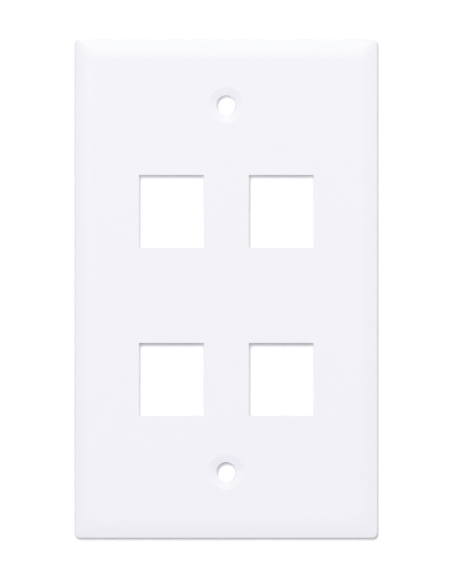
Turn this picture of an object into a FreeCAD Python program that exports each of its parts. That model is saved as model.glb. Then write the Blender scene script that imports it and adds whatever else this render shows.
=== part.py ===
# Wall plate with four keystone ports for a single-gang box, moulded in one piece.
#
# Millimetres. +Z is up and +Y goes into the wall, so the front faces -Y.
# The origin lies midway between the two screw holes, on the plane of the wall.

import FreeCAD
import Part

import math
import os

# Outer form of the plate
PLATE_WIDTH = 68.8
PLATE_HEIGHT = 113.3
PLATE_DEPTH = 6.0
CORNER_RADIUS = 1.1
CREST_CORNER_RADIUS = 1.3
SIDE_DRAFT_DEG = 1.0
BEVEL_RUN = 4.1
BEVEL_DROP = 2.0
BEVEL_BULGE = 0.2
CREST_BLEND = 3.0
EDGE_ROUND = 0.4

# Hollow back
FRONT_SKIN = 2.2
RIM_THICKNESS = 2.0
CAVITY_BEVEL_RUN = 2.6
CAVITY_BEVEL_DROP = 1.15
CAVITY_BEVEL_BULGE = 0.1

# Screw holes, on the spacing of a single-gang box
SCREW_PITCH = 83.3
BORE_DIAMETER = 4.4
DISH_DIAMETER = 8.1
DISH_DEPTH = 0.97
DISH_LIP_ROUND = 0.5
BOSS_DIAMETER = 9.0
BOSS_CHAMFER = 0.4

# Port windows in the front, and the spacing of the four ports
PORT_WIDTH = 14.7
PORT_HEIGHT = 16.4
PORT_EDGE_ROUND = 0.1
PORT_PITCH_X = 24.95
PORT_PITCH_Z = 38.15

# Latch tower behind each port: a fixed catch below, a taller one for the spring latch above
CATCH_OPENING = 20.0
CATCH_DROP = 0.25
CATCH_THICKNESS = 1.6
CATCH_OVERHANG = 1.6
CATCH_FRONT = 8.3
FIXED_LEAD_IN = 0.4
LATCH_LEAD_IN = 0.9
TOWER_WALL = 1.6
CHAMBER_DRAFT_DEG = 1.5
TOWER_CORNER_CHAMFER = 0.6
TOWER_REAR_CHAMFER = 0.4
ROOT_FILLET = 0.5

# Stiffening ribs and the marks left by the ejector pins
RIB_THICKNESS = 1.2
RIB_SETBACK = 1.0
RIB_ROUND = 0.4
EJECTOR_MARK_DIAMETER = 5.0
EJECTOR_MARK_DEPTH = 0.15
EJECTOR_MARK_X = 26.0
EJECTOR_MARK_PITCH_Z = 28.0
EJECTOR_MARKS_PER_SIDE = 4

# Values worked out from those above
FRONT_Y = -PLATE_DEPTH
SKIN_BACK_Y = FRONT_Y + FRONT_SKIN
TOWER_REAR_Y = FRONT_Y + CATCH_FRONT + CATCH_THICKNESS
CATCH_BOTTOM = -PORT_HEIGHT / 2 - CATCH_DROP
CATCH_TOP = CATCH_BOTTOM + CATCH_OPENING
# The catches, not the windows, are centred on the plate, so the windows sit a little low.
WINDOW_OFFSET_Z = -(CATCH_TOP + CATCH_BOTTOM) / 2
PORT_CENTRES = [
    (column * PORT_PITCH_X / 2, row * PORT_PITCH_Z / 2 + WINDOW_OFFSET_Z)
    for row in (1, -1)
    for column in (-1, 1)
]
# How far a cutter runs past the face that it cuts through
OVERCUT = 1.0
# How far a rear feature is sunk into the skin that carries it
SINK = 0.5


def vector(x, y, z):
    return FreeCAD.Vector(x, y, z)


def rounded_rectangle(width, height, radius, y):
    """A wire in the plane y, centred on the Y axis: four corner arcs joined by straight edges."""
    arcs = []
    for quarter in range(4):
        first_angle = math.radians(90 - 90 * quarter)
        middle_angle = first_angle - math.pi / 4
        last_angle = first_angle - math.pi / 2
        centre_x = math.copysign(width / 2 - radius, math.cos(middle_angle))
        centre_z = math.copysign(height / 2 - radius, math.sin(middle_angle))
        points = [
            vector(centre_x + radius * math.cos(angle), y, centre_z + radius * math.sin(angle))
            for angle in (first_angle, middle_angle, last_angle)
        ]
        arcs.append(points)
    edges = []
    for quarter, points in enumerate(arcs):
        next_start = arcs[(quarter + 1) % 4][0]
        edges.append(Part.Arc(*points).toShape())
        edges.append(Part.LineSegment(points[2], next_start).toShape())
    return Part.Wire(edges)


def bevelled_block(width, height, depth, run, drop, bulge):
    """A drafted block with its back on the wall plane and convex bevels round its front."""
    edge_y = -depth + drop
    middle_y = -depth + drop / 2 - bulge
    narrowing = 2 * (depth - drop) * math.tan(math.radians(SIDE_DRAFT_DEG))

    def outline(inset, radius, y):
        return rounded_rectangle(width - inset, height - inset, radius, y)

    edge_outline = outline(narrowing, CORNER_RADIUS, edge_y)
    side = Part.makeLoft([outline(0, CORNER_RADIUS, 0), edge_outline], True, True)
    middle_radius = (CORNER_RADIUS + CREST_CORNER_RADIUS) / 2
    middle_outline = outline(narrowing + run, middle_radius, middle_y)
    crest_outline = outline(narrowing + 2 * run, CREST_CORNER_RADIUS, -depth)
    bevel = Part.makeLoft([edge_outline, middle_outline, crest_outline], True, False)
    return side.fuse(bevel).removeSplitter()


def edges_in_plane(shape, y):
    """The edges of a shape that lie in one plane across the Y axis."""
    tolerance = 1e-4
    return [
        edge
        for edge in shape.Edges
        if abs(edge.BoundBox.YMin - y) < tolerance and abs(edge.BoundBox.YMax - y) < tolerance
    ]


def field_edges(shape, y):
    """The edges in one plane that lie in the flat field of the plate, clear of its bevels."""
    field_x = PLATE_WIDTH / 2 - 2 * BEVEL_RUN
    field_z = PLATE_HEIGHT / 2 - 2 * BEVEL_RUN
    return [
        edge
        for edge in edges_in_plane(shape, y)
        if abs(edge.CenterOfMass.x) < field_x and abs(edge.CenterOfMass.z) < field_z
    ]


def edges_along_y(shape):
    """The straight edges of a shape that run along the Y axis."""
    return [
        edge
        for edge in shape.Edges
        if edge.BoundBox.YLength > edge.BoundBox.XLength + edge.BoundBox.ZLength
    ]


def plate_shell():
    """The outer skin: a bevelled block, softened at its crest and edge, and hollow behind."""
    block = bevelled_block(
        PLATE_WIDTH, PLATE_HEIGHT, PLATE_DEPTH, BEVEL_RUN, BEVEL_DROP, BEVEL_BULGE
    )
    block = block.makeFillet(CREST_BLEND, edges_in_plane(block, FRONT_Y))
    block = block.makeFillet(EDGE_ROUND, edges_in_plane(block, FRONT_Y + BEVEL_DROP))
    cavity = bevelled_block(
        PLATE_WIDTH - 2 * RIM_THICKNESS,
        PLATE_HEIGHT - 2 * RIM_THICKNESS,
        PLATE_DEPTH - FRONT_SKIN,
        CAVITY_BEVEL_RUN,
        CAVITY_BEVEL_DROP,
        CAVITY_BEVEL_BULGE,
    )
    return block.cut(cavity)


def latch_tower(x, z):
    """The box behind one port, as a solid block before the jack's space is cut from it."""
    width = PORT_WIDTH + 2 * TOWER_WALL
    height = CATCH_OPENING + 2 * (CATCH_OVERHANG + TOWER_WALL)
    bottom = CATCH_BOTTOM - CATCH_OVERHANG - TOWER_WALL
    start_y = SKIN_BACK_Y - SINK
    corner = vector(x - width / 2, start_y, z + bottom)
    block = Part.makeBox(width, TOWER_REAR_Y - start_y, height, corner)
    block = block.makeChamfer(TOWER_CORNER_CHAMFER, edges_along_y(block))
    return block.makeChamfer(TOWER_REAR_CHAMFER, edges_in_plane(block, TOWER_REAR_Y))


def jack_space(x, z):
    """A jack's space behind the front skin: chamber, gap between the catches, and lead-ins.

    Its sides draft apart towards the rear, where the core that forms it is drawn out.
    """
    chamber_bottom = CATCH_BOTTOM - CATCH_OVERHANG
    chamber_top = CATCH_TOP + CATCH_OVERHANG
    catch_y = FRONT_Y + CATCH_FRONT
    past_y = TOWER_REAR_Y + OVERCUT
    side_view = [
        (SKIN_BACK_Y, chamber_bottom),
        (catch_y, chamber_bottom),
        (catch_y, CATCH_BOTTOM),
        (TOWER_REAR_Y - FIXED_LEAD_IN, CATCH_BOTTOM),
        (TOWER_REAR_Y, CATCH_BOTTOM - FIXED_LEAD_IN),
        (past_y, CATCH_BOTTOM - FIXED_LEAD_IN),
        (past_y, CATCH_TOP + LATCH_LEAD_IN),
        (TOWER_REAR_Y, CATCH_TOP + LATCH_LEAD_IN),
        (TOWER_REAR_Y - LATCH_LEAD_IN, CATCH_TOP),
        (catch_y, CATCH_TOP),
        (catch_y, chamber_top),
        (SKIN_BACK_Y, chamber_top),
    ]
    front_half = PORT_WIDTH / 2
    rear_half = front_half + (past_y - SKIN_BACK_Y) * math.tan(math.radians(CHAMBER_DRAFT_DEG))
    plan_view = [
        (-front_half, SKIN_BACK_Y),
        (front_half, SKIN_BACK_Y),
        (rear_half, past_y),
        (-rear_half, past_y),
    ]
    side_points = [vector(x - rear_half, y, z + height) for y, height in side_view]
    plan_points = [vector(x + across, y, z + chamber_bottom) for across, y in plan_view]
    side_face = Part.Face(Part.makePolygon(side_points + side_points[:1]))
    plan_face = Part.Face(Part.makePolygon(plan_points + plan_points[:1]))
    side_solid = side_face.extrude(vector(2 * rear_half, 0, 0))
    return side_solid.common(plan_face.extrude(vector(0, 0, chamber_top - chamber_bottom)))


def port_window(x, z):
    """The opening for one port through the front skin."""
    corner = vector(x - PORT_WIDTH / 2, FRONT_Y - OVERCUT, z - PORT_HEIGHT / 2)
    return Part.makeBox(PORT_WIDTH, FRONT_SKIN + 2 * OVERCUT, PORT_HEIGHT, corner)


def screw_boss(z):
    """The round post behind one screw hole, level with the rim."""
    start_y = SKIN_BACK_Y - SINK
    post = Part.makeCylinder(BOSS_DIAMETER / 2, -start_y, vector(0, start_y, z), vector(0, 1, 0))
    return post.makeChamfer(BOSS_CHAMFER, edges_in_plane(post, 0))


def screw_hole(z):
    """A clearance bore under a shallow dish, with the dish's lip rounded over."""
    bore_radius = BORE_DIAMETER / 2
    dish_radius = DISH_DIAMETER / 2
    dish_floor_y = FRONT_Y + DISH_DEPTH
    profile = Part.makePolygon(
        [
            vector(0, FRONT_Y - OVERCUT, z),
            vector(dish_radius, FRONT_Y - OVERCUT, z),
            vector(dish_radius, FRONT_Y, z),
            vector(bore_radius, dish_floor_y, z),
            vector(bore_radius, OVERCUT, z),
            vector(0, OVERCUT, z),
            vector(0, FRONT_Y - OVERCUT, z),
        ]
    )
    return Part.Face(profile).revolve(vector(0, 0, z), vector(0, 1, 0), 360)


def long_rear_edges(rib):
    """The two edges that run the length of a rib along its rear."""
    return [edge for edge in edges_in_plane(rib, -RIB_SETBACK) if edge.Length > 2 * RIB_THICKNESS]


def ribs():
    """A rib down between the columns of ports and a rib across between the rows, short of the wall."""
    start_y = SKIN_BACK_Y - SINK
    depth = -RIB_SETBACK - start_y
    inner_width = PLATE_WIDTH - 2 * RIM_THICKNESS
    inner_height = PLATE_HEIGHT - 2 * RIM_THICKNESS
    upright = Part.makeBox(
        RIB_THICKNESS, depth, inner_height, vector(-RIB_THICKNESS / 2, start_y, -inner_height / 2)
    )
    across = Part.makeBox(
        inner_width, depth, RIB_THICKNESS, vector(-inner_width / 2, start_y, -RIB_THICKNESS / 2)
    )
    return [rib.makeFillet(RIB_ROUND, long_rear_edges(rib)) for rib in (upright, across)]


def ejector_marks():
    """The shallow rounds that the ejector pins leave down both sides of the skin's back."""
    first_z = -EJECTOR_MARK_PITCH_Z * (EJECTOR_MARKS_PER_SIDE - 1) / 2
    marks = []
    for side in (-1, 1):
        for number in range(EJECTOR_MARKS_PER_SIDE):
            start = vector(
                side * EJECTOR_MARK_X,
                SKIN_BACK_Y - EJECTOR_MARK_DEPTH,
                first_z + number * EJECTOR_MARK_PITCH_Z,
            )
            marks.append(Part.makeCylinder(EJECTOR_MARK_DIAMETER / 2, OVERCUT, start, vector(0, 1, 0)))
    return marks


def soften_roots(plate):
    """Fillet the feet of the towers and bosses, where they stand on the back of the skin."""
    return plate.makeFillet(ROOT_FILLET, field_edges(plate, SKIN_BACK_Y))


def soften_openings(plate):
    """Round over the front edges of the windows and of the screw dishes."""
    front_edges = field_edges(plate, FRONT_Y)
    dish_edges = [edge for edge in front_edges if edge.isClosed()]
    window_edges = [edge for edge in front_edges if not edge.isClosed()]
    plate = plate.makeFillet(PORT_EDGE_ROUND, window_edges)
    return plate.makeFillet(DISH_LIP_ROUND, dish_edges)


def wall_plate():
    """The whole moulding: shell, towers, bosses and ribs in one solid, with its openings cut."""
    screw_heights = (SCREW_PITCH / 2, -SCREW_PITCH / 2)
    standing = [latch_tower(x, z) for x, z in PORT_CENTRES]
    standing += [screw_boss(z) for z in screw_heights]
    removed = [jack_space(x, z) for x, z in PORT_CENTRES]
    removed += [port_window(x, z) for x, z in PORT_CENTRES]
    removed += [screw_hole(z) for z in screw_heights]
    removed += ejector_marks()
    plate = soften_roots(plate_shell().fuse(standing).removeSplitter())
    plate = plate.fuse(ribs()).removeSplitter()
    plate = plate.cut(removed).removeSplitter()
    return soften_openings(plate)


plate = wall_plate()
print("solids", len(plate.Solids), "valid", plate.isValid(), "volume mm3", round(plate.Volume, 1))
os.makedirs("parts", exist_ok=True)
plate.exportStep("parts/wall_plate.step")
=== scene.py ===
import math

import bmesh
import bpy
import mathutils
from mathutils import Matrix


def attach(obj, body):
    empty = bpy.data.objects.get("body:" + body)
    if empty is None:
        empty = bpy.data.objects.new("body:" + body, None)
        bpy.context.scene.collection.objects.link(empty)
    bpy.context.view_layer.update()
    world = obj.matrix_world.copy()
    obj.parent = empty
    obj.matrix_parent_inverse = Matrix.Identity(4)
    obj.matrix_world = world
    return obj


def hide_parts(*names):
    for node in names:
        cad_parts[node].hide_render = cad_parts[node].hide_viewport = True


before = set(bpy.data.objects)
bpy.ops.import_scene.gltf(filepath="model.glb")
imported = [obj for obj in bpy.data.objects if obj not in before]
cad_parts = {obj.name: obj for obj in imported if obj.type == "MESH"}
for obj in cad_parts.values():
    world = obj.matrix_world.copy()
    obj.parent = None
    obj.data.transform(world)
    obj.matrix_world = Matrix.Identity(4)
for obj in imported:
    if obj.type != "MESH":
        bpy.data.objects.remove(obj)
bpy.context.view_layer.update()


# The wall plate: one injection moulding in white ABS, with its port windows and screw dishes in
# front and the latch towers, bosses and ribs behind. The front comes off polished steel with a
# satin skin; the core side behind is duller, with the grain that spark erosion leaves in the mould.

MM = 0.001
PLATE_NODE = "wall_plate"
SMOOTH_UNDER = math.radians(32)
MERGE_WITHIN = 0.0005 * MM
ABS_WHITE = (0.882, 0.858, 0.923, 1.0)
ABS_SHADE = (0.870, 0.847, 0.916, 1.0)
ABS_IOR = 1.53
MOTTLING_SIZE, MOTTLING_DETAIL = 4.0 * MM, 3.0
GRAIN_SIZE, GRAIN_DETAIL = 0.30 * MM, 2.0
EROSION_SIZE, EROSION_DETAIL = 0.16 * MM, 3.0
GRAIN_MIDDLE = 0.5
SATIN_ROUGHNESS = 0.38
SATIN_UNEVENNESS = 0.06
CORE_ROUGHNESS = 0.55
CORE_COARSENESS = 3.0
RELIEF_STRENGTH = 0.25
RELIEF_DEPTH = 0.006 * MM
CORE_HALF_WIDTH = 33.65 * MM
CORE_HALF_HEIGHT = 55.9 * MM
CORE_FRONT = -4.4 * MM
MIXED_COLOUR_OUTPUT = 2


class Wire:
    """A socket in a tree of nodes. Arithmetic on it adds Math nodes, and make() adds any other."""

    def __init__(self, tree, socket=None):
        self.tree = tree
        self.socket = socket

    @classmethod
    def begin(cls, owner):
        """Empties the nodes of a material or a world, to start it afresh."""
        owner.use_nodes = True
        owner.node_tree.nodes.clear()
        return cls(owner.node_tree)

    def make(self, kind, settings=None, inputs=None, output=0):
        node = self.tree.nodes.new(kind)
        for name, value in (settings or {}).items():
            setattr(node, name, value)
        for name, value in (inputs or {}).items():
            if isinstance(name, int):
                socket = node.inputs[name]
            else:
                socket = next(s for s in node.inputs if name in (s.identifier, s.name))
            if isinstance(value, Wire):
                self.tree.links.new(value.socket, socket)
            else:
                socket.default_value = value
        return Wire(self.tree, node.outputs[output] if node.outputs else None)

    def maths(self, operation, *values):
        return self.make("ShaderNodeMath", {"operation": operation}, dict(enumerate(values)))

    def __add__(self, other):
        return self.maths("ADD", self, other)

    def __radd__(self, other):
        return self.maths("ADD", other, self)

    def __sub__(self, other):
        return self.maths("SUBTRACT", self, other)

    def __rsub__(self, other):
        return self.maths("SUBTRACT", other, self)

    def __mul__(self, other):
        return self.maths("MULTIPLY", self, other)

    def __rmul__(self, other):
        return self.maths("MULTIPLY", other, self)

    def __lt__(self, other):
        return self.maths("LESS_THAN", self, other)

    def __gt__(self, other):
        return self.maths("GREATER_THAN", self, other)

    def __abs__(self):
        return self.maths("ABSOLUTE", self)


def moulded_abs():
    """White ABS: faint mottling in the colour, a fine satin grain, and a duller core side."""
    material = bpy.data.materials.new("moulded_white_abs")
    start = Wire.begin(material)
    place = start.make("ShaderNodeTexCoord", output="Object")
    x, y, z = [
        start.make("ShaderNodeSeparateXYZ", inputs={"Vector": place}, output=axis)
        for axis in ("X", "Y", "Z")
    ]
    core = (abs(x) < CORE_HALF_WIDTH) * (abs(z) < CORE_HALF_HEIGHT) * (y > CORE_FRONT)

    def noise(size, detail):
        return start.make(
            "ShaderNodeTexNoise",
            inputs={"Vector": place, "Scale": 1 / size, "Detail": detail},
        )

    mottling = noise(MOTTLING_SIZE, MOTTLING_DETAIL)
    grain = noise(GRAIN_SIZE, GRAIN_DETAIL)
    erosion = noise(EROSION_SIZE, EROSION_DETAIL)
    colour = start.make(
        "ShaderNodeMix",
        {"data_type": "RGBA"},
        {"Factor_Float": mottling, "A_Color": ABS_WHITE, "B_Color": ABS_SHADE},
        output=MIXED_COLOUR_OUTPUT,
    )
    satin = SATIN_ROUGHNESS + SATIN_UNEVENNESS * (grain - GRAIN_MIDDLE)
    roughness = satin + (CORE_ROUGHNESS - SATIN_ROUGHNESS) * core
    relief = start.make(
        "ShaderNodeBump",
        inputs={
            "Strength": RELIEF_STRENGTH,
            "Distance": RELIEF_DEPTH,
            "Height": grain + CORE_COARSENESS * erosion * core,
        },
    )
    surface = start.make(
        "ShaderNodeBsdfPrincipled",
        inputs={"Base Color": colour, "Roughness": roughness, "IOR": ABS_IOR, "Normal": relief},
    )
    start.make("ShaderNodeOutputMaterial", inputs={"Surface": surface})
    return material


plate_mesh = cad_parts[PLATE_NODE].data.copy()
plate_mesh.name = "plate_moulding"
shaped = bmesh.new()
shaped.from_mesh(plate_mesh)
bmesh.ops.remove_doubles(shaped, verts=shaped.verts, dist=MERGE_WITHIN)
shaped.to_mesh(plate_mesh)
shaped.free()
for name in ("custom_normal", "sharp_edge", "sharp_face"):
    if name in plate_mesh.attributes:
        plate_mesh.attributes.remove(plate_mesh.attributes[name])
plate_mesh.shade_smooth()
plate_mesh.set_sharp_from_angle(angle=SMOOTH_UNDER)
plate_mesh.materials.clear()
plate_mesh.materials.append(moulded_abs())
plate = bpy.data.objects.new("plate_moulding", plate_mesh)
scene = bpy.context.scene
plate_only = bpy.data.collections.new("plate_only")
scene.collection.children.link(plate_only)
plate_only.objects.link(plate)
even_normals = plate.modifiers.new("even_normals", "WEIGHTED_NORMAL")
even_normals.keep_sharp = True
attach(plate, "root")
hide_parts(PLATE_NODE)


# The white paper behind the plate, close to the latch towers, which takes the plate's shadow. Light
# on its way to the plate passes through it, and from behind it is clear, so the plate's back shows.

PAPER_Y = 4.5 * MM
PAPER_HALF_SIDE = 700 * MM
PAPER_GREY = (0.60, 0.60, 0.60, 1.0)


def seen_directly(start):
    """One for rays that see the background itself or in a reflection, and nought for the rest."""
    camera_ray, glossy_ray, clear_ray = [
        start.make("ShaderNodeLightPath", output=ray)
        for ray in ("Is Camera Ray", "Is Glossy Ray", "Is Transmission Ray")
    ]
    return start.maths("MAXIMUM", start.maths("MAXIMUM", camera_ray, glossy_ray), clear_ray)


def matte_paper():
    """Matte paper that is there only for the rays that see it from in front."""
    material = bpy.data.materials.new("matte_paper")
    start = Wire.begin(material)
    sheet = start.make("ShaderNodeBsdfDiffuse", inputs={"Color": PAPER_GREY})
    clear = start.make("ShaderNodeBsdfTransparent")
    front = 1.0 - start.make("ShaderNodeNewGeometry", output="Backfacing")
    surface = start.make(
        "ShaderNodeMixShader", inputs={0: seen_directly(start) * front, 1: clear, 2: sheet}
    )
    start.make("ShaderNodeOutputMaterial", inputs={"Surface": surface})
    return material


paper_mesh = bpy.data.meshes.new("white_paper")
paper_corners = [
    (across * PAPER_HALF_SIDE, PAPER_Y, up * PAPER_HALF_SIDE)
    for across, up in ((-1, -1), (1, -1), (1, 1), (-1, 1))
]
paper_mesh.from_pydata(paper_corners, [], [(0, 1, 2, 3)])
paper_mesh.materials.append(matte_paper())
paper = bpy.data.objects.new("white_paper", paper_mesh)
paper_only = bpy.data.collections.new("paper_only")
scene.collection.children.link(paper_only)
paper_only.objects.link(paper)


# The studio: a pale room for soft light from all round, soft boxes for the plate in front, above,
# beside, below and behind it, two small lamps that pick out the crests of its side bevels, and one
# broad far lamp for the paper alone, high on the left, which makes the shadow.

WHITE = (1.0, 1.0, 1.0, 1.0)
ROOM_STRENGTH = 0.6545
SHOWN_STRENGTH = 1.0
BOX_DISTANCE = 0.8
BOX_SIDE = 0.4
KEY_WIDTH = 1.6
CREST_LAMP_DISTANCE = 0.4
CREST_LAMP_SIDE = 0.1
NEUTRAL = (1.0, 1.0, 1.0)
PALE_WARM = (0.98, 1.0, 0.94)
WARM = (0.85, 1.0, 0.73)
COOL = (0.75, 1.0, 0.95)
PAPER_LAMP_PLACE = mathutils.Vector((-0.265, -5.0, 0.295))
PAPER_LAMP_WIDTH = 0.675
PAPER_LAMP_POWER = 332


def area_lamp(name, shape, width, power, place, lit):
    """A lamp that faces the plate's middle from its place and lights one collection alone."""
    light = bpy.data.lights.new(name, "AREA")
    light.shape = shape
    light.size = width
    light.energy = power
    lamp = bpy.data.objects.new(name, light)
    lamp.location = place
    lamp.rotation_euler = place.to_track_quat("Z", "Y").to_euler()
    lamp.visible_camera = False
    scene.collection.objects.link(lamp)
    lamp.light_linking.receiver_collection = lit
    return light


def soft_box(
    name, azimuth, elevation, power,
    width=BOX_SIDE, height=BOX_SIDE, away=BOX_DISTANCE, colour=NEUTRAL,
):
    """A soft box for the plate; azimuth nought is straight in front."""
    turn, rise = math.radians(azimuth), math.radians(elevation)
    flat = math.cos(rise)
    towards = mathutils.Vector((math.sin(turn) * flat, -math.cos(turn) * flat, math.sin(rise)))
    light = area_lamp(name, "RECTANGLE", width, power, away * towards, plate_only)
    light.size_y = height
    light.color = colour


soft_box("key_box", azimuth=0, elevation=35, power=1.42, width=KEY_WIDTH, colour=PALE_WARM)
soft_box("overhead_box", azimuth=0, elevation=65, power=1.005, colour=WARM)
soft_box("left_box", azimuth=-50, elevation=0, power=0.44)
soft_box("right_box", azimuth=70, elevation=5, power=0.473)
soft_box("low_box", azimuth=0, elevation=-40, power=0.555)
soft_box("floor_box", azimuth=0, elevation=-80, power=0.66, colour=COOL)
soft_box("back_box", azimuth=155, elevation=35, power=1.96)
crest_lamp = {"width": CREST_LAMP_SIDE, "height": CREST_LAMP_SIDE, "away": CREST_LAMP_DISTANCE}
soft_box("left_lamp", azimuth=-38, elevation=8, power=0.058, **crest_lamp)
soft_box("right_lamp", azimuth=38, elevation=8, power=0.049, **crest_lamp)
area_lamp(
    "paper_lamp", "DISK", PAPER_LAMP_WIDTH, PAPER_LAMP_POWER, PAPER_LAMP_PLACE, paper_only
)

room = bpy.data.worlds.new("pale_room")
scene.world = room
start = Wire.begin(room)
soft = start.make("ShaderNodeBackground", inputs={"Color": WHITE, "Strength": ROOM_STRENGTH})
white = start.make("ShaderNodeBackground", inputs={"Color": WHITE, "Strength": SHOWN_STRENGTH})
shown = start.make("ShaderNodeMixShader", inputs={0: seen_directly(start), 1: soft, 2: white})
start.make("ShaderNodeOutputWorld", inputs={"Surface": shown})


# The camera: parallel, as from very far away, and almost straight on, turned a shade to the left
# side. The height of its frame sets the scale, and the Standard view keeps colours as written.

FRAME_HEIGHT = 132.64 * MM
FRAME_CENTRE = mathutils.Vector((0.07 * MM, 0, -0.83 * MM))
CAMERA_TURN = math.radians(-1.5)
CAMERA_DISTANCE = 0.5
UPRIGHT = math.radians(90)

scene.view_settings.view_transform = "Standard"
camera_data = bpy.data.cameras.new("camera")
camera_data.type = "ORTHO"
camera_data.ortho_scale = FRAME_HEIGHT
camera = bpy.data.objects.new("camera", camera_data)
towards_camera = mathutils.Vector((math.sin(CAMERA_TURN), -math.cos(CAMERA_TURN), 0))
camera.location = FRAME_CENTRE + CAMERA_DISTANCE * towards_camera
camera.rotation_euler = (UPRIGHT, 0, CAMERA_TURN)
scene.collection.objects.link(camera)
scene.camera = camera
